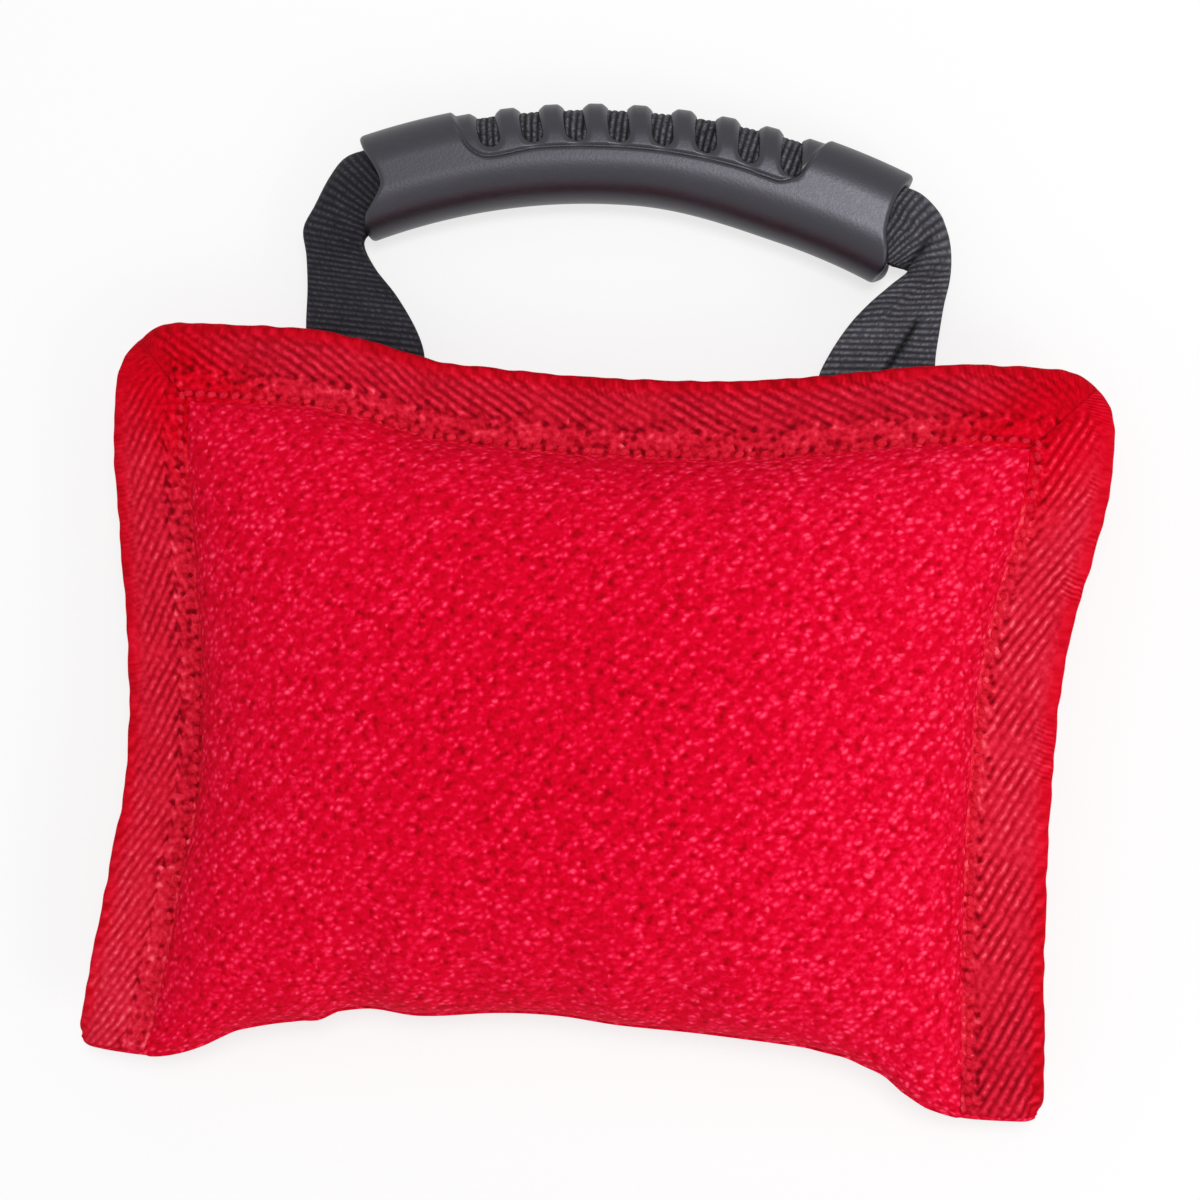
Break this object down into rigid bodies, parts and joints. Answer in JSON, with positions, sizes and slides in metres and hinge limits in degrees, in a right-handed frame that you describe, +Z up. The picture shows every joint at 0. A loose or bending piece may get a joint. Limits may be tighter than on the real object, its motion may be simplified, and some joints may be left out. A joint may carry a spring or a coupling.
{
  "type": "sandbag",
  "caption": "Small sand-filled weight bag: red cloth cover with taped edges, inner sand bag, and a webbing carry handle with a ribbed rubber grip.",
  "frame": {"origin": "middle of the flat patch on the back of the bag, on the floor that the bag lies on", "axes": "+Z up out of the bag's front, +Y towards the carry handle, +X across the bag to the right seen from the front"},
  "size_m": [0.264, 0.2618, 0.063],
  "materials": {
    "cover_cloth": "coarse napped twill, matt",
    "edge_tape": "herringbone cotton tape, matt",
    "red_thread": "polyester sewing thread",
    "clear_film": "heat-welded polyethylene film",
    "sand": "dry loose sand",
    "black_webbing": "ribbed polyester webbing, matt",
    "black_thread": "bonded nylon thread",
    "grip_rubber": "moulded rubber, satin"
  },
  "bodies": {
    "bag": {"cover_cloth": "cover_cloth", "binding_tape": "edge_tape", "binding_stitching": "red_thread", "inner_bag": "clear_film", "sand_fill": "sand", "strap_end_left": "black_webbing", "strap_end_right": "black_webbing", "strap_end_stitching": "black_thread"},
    "straps": {"strap_leg_left": "black_webbing", "strap_leg_right": "black_webbing"},
    "grip": {"strap_neck_left": "black_webbing", "strap_neck_right": "black_webbing", "strap_middle": "black_webbing", "grip_sleeve": "grip_rubber"}
  },
  "joints": [
    {"name": "handle_swing", "type": "hinge", "parent": "bag", "child": "straps", "pos_m": [0.003, 0.1018, 0.02177], "axis": [1, 0, 0], "range_deg": [0, 110]},
    {"name": "grip_tilt", "type": "hinge", "parent": "straps", "child": "grip", "pos_m": [0.003, 0.12786, 0.01125], "axis": [1, 0, 0], "range_deg": [0, 45]}
  ]
}
